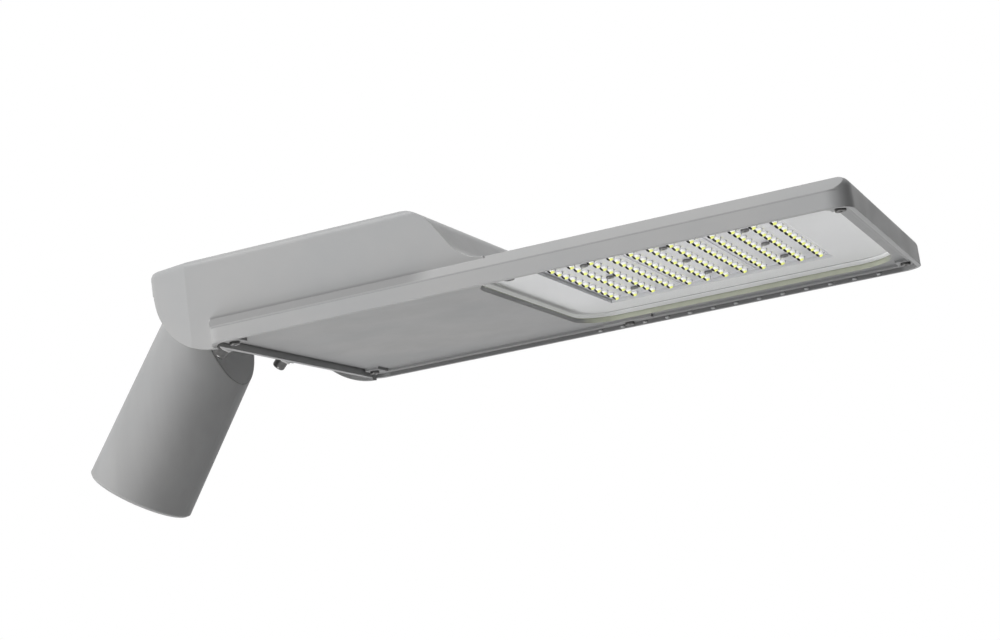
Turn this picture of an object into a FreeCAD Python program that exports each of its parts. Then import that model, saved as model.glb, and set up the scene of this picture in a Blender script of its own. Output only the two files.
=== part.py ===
import FreeCAD, Part
import math
import os
import Sketcher

# Street light head: a die-cast tray with a gear hump and a rear hood, closed from below by one
# cover that frames the glass, and carried by a tube socket that tilts in two clamp caps.
# Tray coordinates: X from the tray's rear edge to the nose, Y across, Z up from the rim's lower
# plane. The finished pieces are shifted so that the pole socket's mouth is the origin.

doc = FreeCAD.newDocument("street_light_head")
sheet = doc.addObject("Spreadsheet::Sheet", "Sizes")


class Size:
    """A number with the sheet expression that gives it."""

    def __init__(self, value, text):
        self.value = value
        self.text = text

    def __add__(self, other):
        other = as_size(other)
        return Size(self.value + other.value, f"({self.text} + {other.text})")

    def __radd__(self, other):
        return as_size(other) + self

    def __sub__(self, other):
        other = as_size(other)
        return Size(self.value - other.value, f"({self.text} - {other.text})")

    def __rsub__(self, other):
        return as_size(other) - self

    def __mul__(self, other):
        other = as_size(other)
        return Size(self.value * other.value, f"({self.text} * {other.text})")

    def __rmul__(self, other):
        return as_size(other) * self

    def __truediv__(self, other):
        other = as_size(other)
        return Size(self.value / other.value, f"({self.text} / {other.text})")

    def __neg__(self):
        return Size(-self.value, f"(0 - {self.text})")


def as_size(number):
    return number if isinstance(number, Size) else Size(float(number), f"({float(number)})")


def sine(angle):
    return Size(math.sin(math.radians(angle.value)), f"sin({angle.text} * 1 deg)")


def cosine(angle):
    return Size(math.cos(math.radians(angle.value)), f"cos({angle.text} * 1 deg)")


def root(square):
    return Size(math.sqrt(square.value), f"sqrt({square.text})")


def size(name, value):
    """Write one driving dimension into the next row of the sheet."""
    row = size.row
    sheet.set(f"A{row}", name)
    sheet.set(f"B{row}", str(value))
    sheet.setAlias(f"B{row}", name)
    size.row = row + 1
    return Size(float(value), f"Sizes.{name}")


size.row = 1

# Tray
tray_length = size("tray_length", 435)
tray_width = size("tray_width", 260)
band_height = size("band_height", 10.7)
shoulder_inset = size("shoulder_inset", 10)
rim_wall = size("rim_wall", 3)
rear_corner = size("rear_corner", 10)
front_corner = size("front_corner", 14)
nose_radius = size("nose_radius", 6.5)
recess_corner = size("recess_corner", 10)

# Gear hump and hood
gear_width = size("gear_width", 244)
gear_height = size("gear_height", 61.7)
crest_x = size("crest_x", 143)
crest_radius = size("crest_radius", 30)
slope_angle = size("slope_angle", 56)
foot_radius = size("foot_radius", 26)
gear_wall = size("gear_wall", 3.5)
gear_edge = size("gear_edge", 5)
hood_length = size("hood_length", 70.8)
hood_lip = size("hood_lip", 10.7)
cheek_x = size("cheek_x", 4)
cheek_radius = size("cheek_radius", 50)
cheek_drop = size("cheek_drop", 2)
cheek_turn_height = size("cheek_turn_height", 45)
bevel_start = size("bevel_start", 15)
bevel_end = size("bevel_end", 46)
bevel_taper = size("bevel_taper", 7.7)
tail_x = size("tail_x", 66)
tail_half_width = size("tail_half_width", 78)
tail_end_half_width = size("tail_end_half_width", 66)
hood_corner = size("hood_corner", 9)

# Inner levels of the tray
cover_level = size("cover_level", 5)
cover_thickness = size("cover_thickness", 3.2)
gasket_height = size("gasket_height", 2)
gasket_width = size("gasket_width", 2.2)
gasket_corner = size("gasket_corner", 27)
chamber_width = size("chamber_width", 234.8)
chamber_front_wall = size("chamber_front_wall", 10.5)
chamber_rear_ledge = size("chamber_rear_ledge", 7.6)
ledge_thickness = size("ledge_thickness", 3.2)
ceiling_wall = size("ceiling_wall", 2)

# Cover and window
cover_gap = size("cover_gap", 1)
rib_drop = size("rib_drop", 2.2)
rib_width = size("rib_width", 6)
window_rear = size("window_rear", 184)
window_front_margin = size("window_front_margin", 14)
window_width = size("window_width", 229)
window_corner = size("window_corner", 28)
tab_length = size("tab_length", 38)
tab_depth = size("tab_depth", 10)
screw_mid_x = size("screw_mid_x", 216)
screw_mid_inset = size("screw_mid_inset", 7.8)
screw_front_margin = size("screw_front_margin", 9.5)
screw_front_inset = size("screw_front_inset", 19)
screw_rear_x = size("screw_rear_x", 9.6)
screw_rear_inset = size("screw_rear_inset", 22)
cover_screw_shank = size("cover_screw_shank", 4)
cover_screw_head = size("cover_screw_head", 7)
cover_screw_head_height = size("cover_screw_head_height", 2.2)
cover_screw_reach = size("cover_screw_reach", 14.6)
thread_clearance = size("thread_clearance", 0.1)
hole_clearance = size("hole_clearance", 0.3)

# Glass
glass_thickness = size("glass_thickness", 3)
glass_overlap = size("glass_overlap", 2.5)
glass_front_overlap = size("glass_front_overlap", 2.6)
glass_rear_overlap = size("glass_rear_overlap", 5.5)
glass_seal_height = size("glass_seal_height", 0.7)

# Light engine
module_count = 3
leds_long = 4
leds_across = 12
module_middle_x = size("module_middle_x", 298.8)
led_pitch_x = size("led_pitch_x", 13.7)
led_pitch_y = size("led_pitch_y", 13.44)
module_gap = size("module_gap", 0.8)
module_margin = size("module_margin", 4.72)
board_thickness = size("board_thickness", 1.2)
chip_size = size("chip_size", 3.5)
chip_height = size("chip_height", 0.6)
lens_gap = size("lens_gap", 0.8)
lens_clearance = size("lens_clearance", 0.3)
lens_sheet = size("lens_sheet", 0.8)
lens_radius = size("lens_radius", 3)
lens_drop = size("lens_drop", 2.8)
lens_foot = size("lens_foot", 0.3)
lens_skirt = size("lens_skirt", 1.6)
lens_screw_step = 4
lens_screw_shank = size("lens_screw_shank", 3)
lens_screw_head = size("lens_screw_head", 5.6)
lens_screw_head_height = size("lens_screw_head_height", 1.5)
lens_screw_bite = size("lens_screw_bite", 1.3)
bezel_sheet = size("bezel_sheet", 0.8)
bezel_clearance = size("bezel_clearance", 0.5)
bezel_gap = size("bezel_gap", 0.8)
bezel_boss = size("bezel_boss", 8)

# Cooling fins on the tray's top
fin_count = 15
fin_rear = size("fin_rear", 216)
fin_front = size("fin_front", 398)
fin_half_span = size("fin_half_span", 84)
fin_thickness = size("fin_thickness", 2.6)
fin_height = size("fin_height", 6)

# Tilting pole socket
tilt_angle = size("tilt_angle", 35.85)
pivot_x = size("pivot_x", -57.8)
pivot_clearance = size("pivot_clearance", 0.6)
socket_reach = size("socket_reach", 147.3)
socket_bore = size("socket_bore", 62)
socket_depth = size("socket_depth", 105)
socket_mouth_diameter = size("socket_mouth_diameter", 80.4)
socket_top_diameter = size("socket_top_diameter", 76.4)
socket_top_gap = size("socket_top_gap", 15)
cable_passage = size("cable_passage", 30)
relief_offset = size("relief_offset", 1)
relief_edge = size("relief_edge", 1.2)
ear_width = size("ear_width", 77.2)
ear_inner_width = size("ear_inner_width", 44)
trunnion_diameter = size("trunnion_diameter", 21)
trunnion_width = size("trunnion_width", 99)
bearing_clearance = size("bearing_clearance", 0.1)
set_screw_diameter = size("set_screw_diameter", 8)
set_screw_low = size("set_screw_low", 28)
set_screw_high = size("set_screw_high", 68)
set_screw_length = size("set_screw_length", 7.8)

# Clamp caps and their bearing ribs
clamp_angle = size("clamp_angle", 45)
rib_inner = size("rib_inner", 39.2)
rib_outer = size("rib_outer", 50)
cap_wall = size("cap_wall", 4.4)
cap_flange = size("cap_flange", 5.9)
cap_side_gap = size("cap_side_gap", 0.4)
bolt_arm = size("bolt_arm", 39)
bolt_edge = size("bolt_edge", 6.4)
bolt_y = size("bolt_y", 44)
bolt_shank = size("bolt_shank", 6)
bolt_head = size("bolt_head", 9.6)
bolt_head_height = size("bolt_head_height", 7.4)
bolt_bite = size("bolt_bite", 18)
washer_diameter = size("washer_diameter", 12)
washer_thickness = size("washer_thickness", 1.6)
tongue_width = size("tongue_width", 5)
tongue_depth = size("tongue_depth", 3)
tongue_height = size("tongue_height", 1.6)

# Gear compartment
gear_tray_rear = size("gear_tray_rear", 24)
gear_tray_front = size("gear_tray_front", 150)
gear_tray_width = size("gear_tray_width", 200)
gear_tray_sheet = size("gear_tray_sheet", 1.5)
gear_tray_level = size("gear_tray_level", 50)
gear_boss = size("gear_boss", 10)
gear_boss_inset = size("gear_boss_inset", 12)
driver_length = size("driver_length", 150)
driver_width = size("driver_width", 62)
driver_height = size("driver_height", 31)
driver_x = size("driver_x", 112)
driver_flange = size("driver_flange", 11)
driver_flange_sheet = size("driver_flange_sheet", 3)
surge_length = size("surge_length", 50)
surge_width = size("surge_width", 32)
surge_height = size("surge_height", 25)
surge_x = size("surge_x", 54)
surge_y = size("surge_y", -58)
terminal_length = size("terminal_length", 58)
terminal_width = size("terminal_width", 24)
terminal_height = size("terminal_height", 21)
terminal_x = size("terminal_x", 54)
terminal_y = size("terminal_y", 8)
terminal_ways = 5
terminal_well = size("terminal_well", 6)
clamp_strip_length = size("clamp_strip_length", 34)
clamp_strip_width = size("clamp_strip_width", 12)
clamp_strip_y = size("clamp_strip_y", 66)
small_screw_shank = size("small_screw_shank", 4)
small_screw_head = size("small_screw_head", 7.5)
small_screw_head_height = size("small_screw_head_height", 2.4)
small_screw_length = size("small_screw_length", 6)
gland_z = size("gland_z", 34)
gland_thread = size("gland_thread", 20)
gland_hexagon = size("gland_hexagon", 24)
gland_flange = size("gland_flange", 5)
gland_dome_length = size("gland_dome_length", 13)
gland_dome_diameter = size("gland_dome_diameter", 22)
gland_passage = size("gland_passage", 10)
gland_nut_thickness = size("gland_nut_thickness", 4)
vent_y = size("vent_y", 84)
vent_diameter = size("vent_diameter", 12)
vent_head_diameter = size("vent_head_diameter", 17)
vent_head_length = size("vent_head_length", 5)

# Derived places, each from the sizes above
half_width = tray_width / 2
half_gear = gear_width / 2
half_chamber = chamber_width / 2
cover_top = cover_level + cover_thickness
ledge_level = cover_top + gasket_height
glass_low = cover_top + glass_seal_height
glass_top = glass_low + glass_thickness
bezel_level = glass_top + bezel_clearance
lens_low = glass_top + lens_clearance + lens_drop
lens_top = lens_low + lens_sheet
board_low = lens_top + lens_gap
ceiling_level = board_low + board_thickness
shoulder_height = ceiling_level + ceiling_wall
screw_mid_y = half_width - screw_mid_inset
screw_front_x = tray_length - screw_front_margin
screw_front_y = half_width - screw_front_inset
screw_rear_y = half_width - screw_rear_inset
window_front = tray_length - window_front_margin
gear_ceiling = gear_height - gear_wall
crest_z = gear_height - crest_radius
slope_top_x = crest_x + crest_radius * sine(slope_angle)
slope_top_z = crest_z + crest_radius * cosine(slope_angle)
foot_z = shoulder_height + foot_radius
slope_foot_z = foot_z - foot_radius * cosine(slope_angle)
slope_run = cosine(slope_angle) / sine(slope_angle)
slope_foot_x = slope_top_x + (slope_top_z - slope_foot_z) * slope_run
foot_x = slope_foot_x + foot_radius * sine(slope_angle)
cheek_z = cheek_radius - cheek_drop
cheek_turn_x = cheek_x - root(cheek_radius * cheek_radius - (cheek_z - cheek_turn_height)
                              * (cheek_z - cheek_turn_height))
inner_crest = crest_radius - gear_wall
cover_rear = rim_wall + cover_gap
cover_front = tray_length - rim_wall - cover_gap
cover_half = half_width - rim_wall - cover_gap
window_half = window_width / 2
glass_rear = window_rear - glass_rear_overlap
glass_front = window_front + glass_front_overlap
glass_half = window_half + glass_overlap
chamber_rear = rim_wall + chamber_rear_ledge
chamber_front = tray_length - chamber_front_wall
lens_cap = lens_drop - lens_foot
lens_curve = (lens_radius * lens_radius + lens_cap * lens_cap) / (lens_cap * 2)
module_pitch = led_pitch_x * leds_long
module_length = module_pitch - module_gap
module_width = led_pitch_y * leds_across + module_margin
lens_screw_pitch = led_pitch_y * lens_screw_step
trunnion_radius = trunnion_diameter / 2
bearing_radius = trunnion_radius + bearing_clearance
pivot_z = gear_ceiling - (bearing_radius + cap_wall) * sine(clamp_angle) - pivot_clearance
mouth_x = pivot_x - socket_reach * sine(tilt_angle)
mouth_z = pivot_z - socket_reach * cosine(tilt_angle)
shift_x = -mouth_x
shift_z = -mouth_z
gear_screw_x = (gear_tray_rear + gear_boss_inset, gear_tray_front - gear_boss_inset)
gear_screw_y = gear_tray_width / 2 - gear_boss_inset
vector = FreeCAD.Vector

PLANES = {"XY": "XY_Plane", "XZ": "XZ_Plane", "YZ": "YZ_Plane"}


# Drawing and solid-making helpers

def origin_plane(body, plane):
    for feature in body.Origin.OriginFeatures:
        if feature.Role == PLANES[plane]:
            return feature
    raise ValueError(plane)


def draw_outline(sketch, corners):
    """Closed outline. A corner is (x, y), or (x, y, radius, cx, cy, turn) when an arc leaves it."""
    count = len(corners)
    first = sketch.GeometryCount
    for index, corner in enumerate(corners):
        following = corners[(index + 1) % count]
        start = vector(corner[0].value, corner[1].value, 0)
        end = vector(following[0].value, following[1].value, 0)
        if len(corner) == 2:
            sketch.addGeometry(Part.LineSegment(start, end))
            continue
        radius, centre_x, centre_y, turn = corner[2:]
        circle = Part.Circle(vector(centre_x.value, centre_y.value, 0), vector(0, 0, 1),
                             radius.value)
        angles = [math.atan2(point.y - centre_y.value, point.x - centre_x.value)
                  for point in (start, end)]
        if turn < 0:
            angles.reverse()
        sketch.addGeometry(Part.ArcOfCircle(circle, angles[0], angles[1]))
    for index, corner in enumerate(corners):
        here = first + index
        following = first + (index + 1) % count
        begins = 2 if len(corner) > 2 and corner[5] < 0 else 1
        ends = 3 - begins
        next_corner = corners[(index + 1) % count]
        next_begins = 2 if len(next_corner) > 2 and next_corner[5] < 0 else 1
        sketch.addConstraint(Sketcher.Constraint("Coincident", here, ends, following, next_begins))
        for kind, place in (("DistanceX", corner[0]), ("DistanceY", corner[1])):
            number = sketch.addConstraint(
                Sketcher.Constraint(kind, -1, 1, here, begins, place.value))
            sketch.setExpression(f"Constraints[{number}]", place.text)
        if len(corner) > 2:
            wide = abs(next_corner[0].value - corner[0].value)
            tall = abs(next_corner[1].value - corner[1].value)
            kind, place = ("DistanceY", corner[4]) if wide > tall else ("DistanceX", corner[3])
            number = sketch.addConstraint(Sketcher.Constraint(kind, -1, 1, here, 3, place.value))
            sketch.setExpression(f"Constraints[{number}]", place.text)


def draw_circle(sketch, centre_x, centre_y, radius):
    centre = vector(centre_x.value, centre_y.value, 0)
    here = sketch.addGeometry(Part.Circle(centre, vector(0, 0, 1), radius.value))
    for kind, place in (("DistanceX", centre_x), ("DistanceY", centre_y)):
        number = sketch.addConstraint(Sketcher.Constraint(kind, -1, 1, here, 3, place.value))
        sketch.setExpression(f"Constraints[{number}]", place.text)
    number = sketch.addConstraint(Sketcher.Constraint("Radius", here, radius.value))
    sketch.setExpression(f"Constraints[{number}]", radius.text)


def box(left, right, low, high):
    return [(left, low), (right, low), (right, high), (left, high)]


def rounded_box(left, right, low, high, radius):
    return [
        (left + radius, low), (right - radius, low, radius, right - radius, low + radius, 1),
        (right, low + radius), (right, high - radius, radius, right - radius, high - radius, 1),
        (right - radius, high), (left + radius, high, radius, left + radius, high - radius, 1),
        (left, high - radius), (left, low + radius, radius, left + radius, low + radius, 1),
    ]


def hexagon(centre_x, centre_y, across):
    corner = across / cosine(as_size(30)) / 2
    places = []
    for step in range(6):
        angle = as_size(60 * step)
        places.append((centre_x + corner * cosine(angle), centre_y + corner * sine(angle)))
    return places


class Piece:
    """One part-design body, padded and pocketed from sketches on its own origin planes."""

    def __init__(self, name, placed=True):
        self.body = doc.addObject("PartDesign::Body", name)
        self.body.Label = name
        self.features = 0
        if placed:
            self.body.setExpression("Placement.Base.x", shift_x.text)
            self.body.setExpression("Placement.Base.z", shift_z.text)

    def volume(self):
        return self.body.Shape.Volume if self.body.Tip else 0.0

    def sketch(self, plane, outlines, circles, offset, frame, along=None):
        name = f"{self.body.Label}_sketch_{self.features}"
        sketch = self.body.newObject("Sketcher::SketchObject", name)
        sketch.AttachmentSupport = (origin_plane(self.body, plane), "")
        sketch.MapMode = "FlatFace"
        if frame:
            base_x, base_z, angle = frame
            turned = FreeCAD.Rotation(vector(0, 1, 0), angle.value)
            sketch.AttachmentOffset = FreeCAD.Placement(vector(0, 0, 0), turned)
            sketch.setExpression("AttachmentOffset.Rotation.Angle", f"{angle.text} * 1 deg")
            along_x = base_x + offset * sine(angle)
            along_z = base_z + offset * cosine(angle)
            sketch.setExpression("AttachmentOffset.Base.x", along_x.text)
            sketch.setExpression("AttachmentOffset.Base.z", along_z.text)
        else:
            sketch.setExpression("AttachmentOffset.Base.z", offset.text)
        if along:
            sketch.setExpression("AttachmentOffset.Base.x", along.text)
        for outline in outlines:
            draw_outline(sketch, [tuple(as_size(v) if index < 5 else v
                                        for index, v in enumerate(corner))
                                  for corner in outline])
        for centre_x, centre_y, radius in circles:
            draw_circle(sketch, as_size(centre_x), as_size(centre_y), as_size(radius))
        return sketch

    def extrude(self, kind, plane, start, end, outlines, circles, frame):
        start = as_size(start)
        end = as_size(end)
        before = self.volume()
        downward = plane == "XZ"
        if kind == "Pad":
            offset = -end if downward else start
        else:
            offset = -start if downward else end
        sketch = self.sketch(plane, outlines, circles, offset, frame)
        feature = self.body.newObject(f"PartDesign::{kind}", f"{self.body.Label}_{self.features}")
        self.features += 1
        feature.Profile = sketch
        feature.setExpression("Length", (end - start).text)
        doc.recompute()
        gained = self.body.Shape.Volume - before
        if (gained > 0) != (kind == "Pad") or not feature.isValid():
            raise ValueError(f"{feature.Name} changed the volume by {gained}")
        return feature

    def pad(self, plane, start, end, outlines=(), circles=(), frame=None):
        return self.extrude("Pad", plane, start, end, outlines, circles, frame)

    def pocket(self, plane, start, end, outlines=(), circles=(), frame=None):
        return self.extrude("Pocket", plane, start, end, outlines, circles, frame)

    def repeat(self, feature, rows, row_pitch, columns, column_pitch, column_axis="V_Axis"):
        """Repeat the last feature in a grid along two axes of its sketch."""
        grid = self.body.newObject("PartDesign::MultiTransform", f"{self.body.Label}_grid")
        steps = []
        for axis, count, pitch in (("H_Axis", rows, row_pitch),
                                   (column_axis, columns, column_pitch)):
            step = self.body.newObject("PartDesign::LinearPattern",
                                       f"{self.body.Label}_{axis[0]}_step")
            step.Direction = (feature.Profile[0], [axis])
            step.setExpression("Length", (pitch * (count - 1)).text)
            step.Occurrences = count
            steps.append(step)
        grid.Originals = [feature]
        grid.Transformations = steps
        self.body.Tip = grid
        doc.recompute()
        if not grid.isValid() or not self.body.Shape.isValid():
            raise ValueError(f"{self.body.Label}: the grid failed")

    def revolve(self, profile, place_x=None, place_y=None):
        """Turn an upright profile about the line X = place_x, Y = place_y."""
        before = self.volume()
        offset = -place_y if place_y else as_size(0)
        sketch = self.sketch("XZ", [profile], (), offset, None, place_x)
        feature = self.body.newObject("PartDesign::Revolution",
                                      f"{self.body.Label}_{self.features}")
        self.features += 1
        feature.Profile = sketch
        feature.ReferenceAxis = (sketch, ["V_Axis"])
        feature.Angle = 360
        doc.recompute()
        gained = self.body.Shape.Volume - before
        if gained <= 0 or not feature.isValid():
            raise ValueError(f"{feature.Name} changed the volume by {gained}")
        return feature

    def dress(self, kind, sizes, wanted):
        """Round or chamfer the edges that the test picks."""
        base = self.body.Tip
        names = [f"Edge{index + 1}" for index, edge in enumerate(base.Shape.Edges) if wanted(edge)]
        if not names:
            raise ValueError(f"{self.body.Label}: no edge for the {kind}")
        feature = self.body.newObject(f"PartDesign::{kind}", f"{self.body.Label}_{self.features}")
        self.features += 1
        feature.Base = (base, names)
        for name, value in sizes.items():
            feature.setExpression(name, as_size(value).text)
        doc.recompute()
        if not feature.isValid() or not feature.Shape.isValid():
            raise ValueError(f"{feature.Name} failed on {names}")
        return feature


def near(number, other, margin=0.05):
    return abs(number - as_size(other).value) < margin


def middle(edge):
    return edge.valueAt((edge.FirstParameter + edge.LastParameter) / 2)


def upright(edge):
    ends = edge.Vertexes
    return len(ends) == 2 and abs(ends[0].X - ends[1].X) + abs(ends[0].Y - ends[1].Y) < 1e-3


def group(name, solids):
    """Alike small pieces that share one node, placed like the bodies."""
    feature = doc.addObject("Part::Feature", name)
    feature.Label = name
    feature.Shape = Part.makeCompound(solids)
    feature.Placement = FreeCAD.Placement(vector(shift_x.value, 0, shift_z.value),
                                          FreeCAD.Rotation())
    return feature


def screw_solid(shank, head, head_height, length, socket):
    """A screw that points up, with the underside of its head at the local origin."""
    solid = Part.makeCylinder(shank.value / 2, length.value)
    rounding = head_height.value * 0.3
    cap = Part.makeCylinder(head.value / 2, head_height.value, vector(0, 0, -head_height.value))
    lower = [edge for edge in cap.Edges if abs(edge.CenterOfMass.z + head_height.value) < 1e-6
             and len(edge.Vertexes) == 1]
    cap = cap.makeFillet(rounding, lower)
    corners = [vector(socket / 2 * math.cos(math.radians(60 * step)),
                      socket / 2 * math.sin(math.radians(60 * step)), -head_height.value)
               for step in range(7)]
    key = Part.Face(Part.makePolygon(corners)).extrude(vector(0, 0, head_height.value * 0.6))
    return solid.fuse(cap).cut(key).removeSplitter()


# Housing

def hump_rear_profile():
    return [
        (cheek_x, -cheek_drop),
        (cheek_x, ledge_level + ledge_thickness),
        (crest_x, ledge_level + ledge_thickness),
        (crest_x, gear_height),
        (-hood_length, gear_height),
        (-hood_length, gear_height - hood_lip),
        (cheek_turn_x, cheek_turn_height, cheek_radius, cheek_x, cheek_z, 1),
    ]


def hump_front_profile():
    return [
        (crest_x, ledge_level + ledge_thickness),
        (foot_x, ledge_level + ledge_thickness),
        (foot_x, shoulder_height, foot_radius, foot_x, foot_z, -1),
        (slope_foot_x, slope_foot_z),
        (slope_top_x, slope_top_z, crest_radius, crest_x, crest_z, 1),
        (crest_x, gear_height),
    ]


def hump_edge_sliver(side):
    """What the rounded edge leaves off along the hump's front half."""
    turn = side
    inner = (half_gear - gear_edge) * side
    outer = half_gear * side
    beyond = (half_gear + 5) * side
    low = gear_height - gear_edge
    return [(outer, low, gear_edge, inner, low, turn), (inner, gear_height),
            (inner, gear_height + 5), (beyond, gear_height + 5), (beyond, low)]


def hood_corner_cut(side):
    """Plan outline of what the hood's taper leaves off one side."""
    beyond = half_gear + 10
    back = hood_length + 10
    corners = [
        (-bevel_start, half_gear), (-bevel_end, half_gear - bevel_taper),
        (-tail_x, tail_half_width), (-hood_length - 0.2, tail_end_half_width),
        (-back, tail_end_half_width), (-back, beyond), (-bevel_start, beyond),
    ]
    return [(x, y * side) for x, y in corners]


def hood_cavity_plan():
    wall = gear_wall
    open_half = rib_outer + 1.5
    corners = [
        (as_size(0), half_gear - wall), (-bevel_start - 0.4, half_gear - wall),
        (-bevel_end + wall * 0.75, half_gear - bevel_taper - wall * 0.85),
        (-tail_x + wall * 0.85, tail_half_width - wall * 0.6),
        (-hood_length + wall, tail_end_half_width - wall * 0.3),
        (-hood_length + wall, open_half), (-hood_length - 10, open_half),
    ]
    mirrored = [(x, -y) for x, y in reversed(corners)]
    return corners + mirrored


def gear_chamber_profile():
    floor = ledge_level + ledge_thickness
    inner_x = crest_x + inner_crest * sine(slope_angle)
    inner_z = crest_z + inner_crest * cosine(slope_angle)
    return [
        (rim_wall + 0.5, floor),
        (inner_x + (inner_z - floor) * slope_run, floor),
        (inner_x, inner_z, inner_crest, crest_x, crest_z, 1),
        (crest_x, gear_ceiling),
        (rim_wall + 0.5, gear_ceiling),
    ]


def along_clamp(arm, lift):
    """Tray X and Z of a point that lies arm forward of the pivot and lift above the split."""
    return (pivot_x + arm * cosine(clamp_angle) + lift * sine(clamp_angle),
            pivot_z - arm * sine(clamp_angle) + lift * cosine(clamp_angle))


def bearing_rib_profile():
    back_x, back_z = along_clamp(-bearing_radius - 4.2, as_size(0))
    low_x, low_z = along_clamp(bolt_arm + bolt_edge, as_size(0))
    top = gear_ceiling + gear_wall / 2
    return [(back_x, back_z), (low_x, low_z), (rim_wall / 2, low_z), (rim_wall / 2, top),
            (back_x, top)]


def cover_screw_places():
    places = []
    for side in (-1, 1):
        places.append((screw_rear_x, screw_rear_y * side))
        places.append((screw_mid_x, screw_mid_y * side))
        places.append((screw_front_x, screw_front_y * side))
    return places


def lens_screw_places(module):
    middle_x = module_middle_x + module_pitch * (module - 1)
    return [(middle_x, lens_screw_pitch * step) for step in (-1, 0, 1)]


def bezel_boss_places():
    rear = glass_rear + 22
    front = glass_front - 26
    side = glass_half - 18
    return [(rear, side), (rear, -side), (front, side), (front, -side)]


def tray_plan():
    rear = rear_corner
    front = front_corner
    far = tray_length - front
    side = half_width - front
    rear_side = half_width - rear
    return [
        (rear, -half_width), (far, -half_width, front, far, -side, 1),
        (tray_length, -side), (tray_length, side, front, far, side, 1),
        (far, half_width), (rear, half_width, rear, rear, rear_side, 1),
        (0, rear_side), (0, -rear_side, rear, rear, -rear_side, 1),
    ]


def shoulder_cut(side):
    """Section of what the sloped shoulder leaves off one side of the tray."""
    slope = (shoulder_height - band_height) / shoulder_inset
    beyond = as_size(10)
    corners = [(half_width + beyond, band_height - beyond * slope),
               (half_width + beyond, shoulder_height + beyond),
               (half_width - shoulder_inset, shoulder_height + beyond),
               (half_width - shoulder_inset, shoulder_height)]
    return [(y * side, z) for y, z in corners]


def build_housing():
    piece = Piece("housing")
    piece.pad("XY", 0, shoulder_height, [tray_plan()])
    for side in (-1, 1):
        piece.pocket("YZ", -10, tray_length + 10, [shoulder_cut(side)])
    corner_start = (tray_length - front_corner).value - 0.01
    piece.dress("Fillet", {"Radius": nose_radius},
                lambda edge: near(middle(edge).z, shoulder_height)
                and middle(edge).x > corner_start)
    piece.pad("XZ", -half_gear, half_gear, [hump_rear_profile()])
    for side in (-1, 1):
        piece.pocket("XY", -10, gear_height + 5, [hood_corner_cut(side)])
    corner_x = -bevel_end.value
    piece.dress("Fillet", {"Radius": hood_corner},
                lambda edge: near(middle(edge).x, corner_x, 0.5) and upright(edge))
    piece.dress("Fillet", {"Radius": gear_edge},
                lambda edge: middle(edge).z > gear_height.value - 0.05
                and middle(edge).x < crest_x.value - 1)
    piece.pad("XZ", -half_gear, half_gear, [hump_front_profile()])
    for side in (-1, 1):
        piece.pocket("YZ", crest_x, foot_x, [hump_edge_sliver(side)])
    recess = rounded_box(rim_wall, tray_length - rim_wall, -half_width + rim_wall,
                         half_width - rim_wall, recess_corner)
    piece.pocket("XY", -10, ledge_level, [recess])
    seat = rounded_box(chamber_rear, chamber_front, -half_chamber, half_chamber, gasket_corner)
    piece.pocket("XY", ledge_level, ceiling_level, [seat])
    piece.pocket("XZ", -half_chamber, half_chamber, [gear_chamber_profile()])
    piece.pocket("XY", -10, gear_ceiling, [hood_cavity_plan()])
    strip = box(as_size(-1), rim_wall, -half_gear + gear_wall, half_gear - gear_wall)
    piece.pocket("XY", -10, 0, [strip])
    for side in (-1, 1):
        low, high = sorted((rib_inner * side, rib_outer * side), key=lambda s: s.value)
        piece.pad("XZ", low, high, [bearing_rib_profile()])
    piece.pocket("XZ", -rib_outer - 1, rib_outer + 1, circles=[(pivot_x, pivot_z, bearing_radius)])
    bosses = [(x, y * side, gear_boss / 2) for x in gear_screw_x for y in (gear_screw_y,)
              for side in (-1, 1)]
    tray_top = gear_tray_level + gear_tray_sheet
    piece.pad("XY", tray_top, gear_ceiling + 0.5, circles=bosses)
    piece.pad("XY", bezel_level + bezel_sheet, ceiling_level + 0.5,
              circles=[(x, y, bezel_boss / 2) for x, y in bezel_boss_places()])
    drill_housing(piece)
    fins = []
    pitch = fin_half_span * 2 / (fin_count - 1)
    for index in range(fin_count):
        centre = -fin_half_span + pitch * index
        fins.append(box(fin_rear, fin_front, centre - fin_thickness / 2,
                        centre + fin_thickness / 2))
    piece.pad("XY", shoulder_height - 0.5, shoulder_height + fin_height, fins)


def drill_housing(piece):
    shank = cover_screw_shank / 2 + thread_clearance
    piece.pocket("XY", ledge_level - 1, cover_screw_reach + 0.4,
                 circles=[(x, y, shank) for x, y in cover_screw_places()])
    thin = lens_screw_shank / 2 + thread_clearance
    lens_holes = [(x, y, thin) for module in range(module_count)
                  for x, y in lens_screw_places(module)]
    piece.pocket("XY", ceiling_level - 1, ceiling_level + lens_screw_bite + 0.2, circles=lens_holes)
    small = small_screw_shank / 2 + thread_clearance
    tray_top = gear_tray_level + gear_tray_sheet
    gear_holes = [(x, gear_screw_y * side, small) for x in gear_screw_x for side in (-1, 1)]
    piece.pocket("XY", tray_top - 1, tray_top + small_screw_length, circles=gear_holes)
    piece.pocket("YZ", -1, rim_wall + 1,
                 circles=[(0, gland_z, gland_thread / 2 + thread_clearance),
                          (vent_y, gland_z, vent_diameter / 2 + thread_clearance)])
    turned = (pivot_x, pivot_z, clamp_angle)
    bolt_radius = bolt_shank / 2 + thread_clearance
    piece.pocket("XY", -1, bolt_bite + 1, frame=turned,
                 circles=[(bolt_arm, bolt_y * side, bolt_radius) for side in (-1, 1)])
    rear = -bearing_radius - cap_wall + 0.6
    slots = [box(rear - 0.3, rear + tongue_depth + 0.3, bolt_y * side - tongue_width / 2 - 0.3,
                 bolt_y * side + tongue_width / 2 + 0.3) for side in (-1, 1)]
    piece.pocket("XY", -1, tongue_height + 0.3, slots, frame=turned)


# Cover, glass and seals

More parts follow.
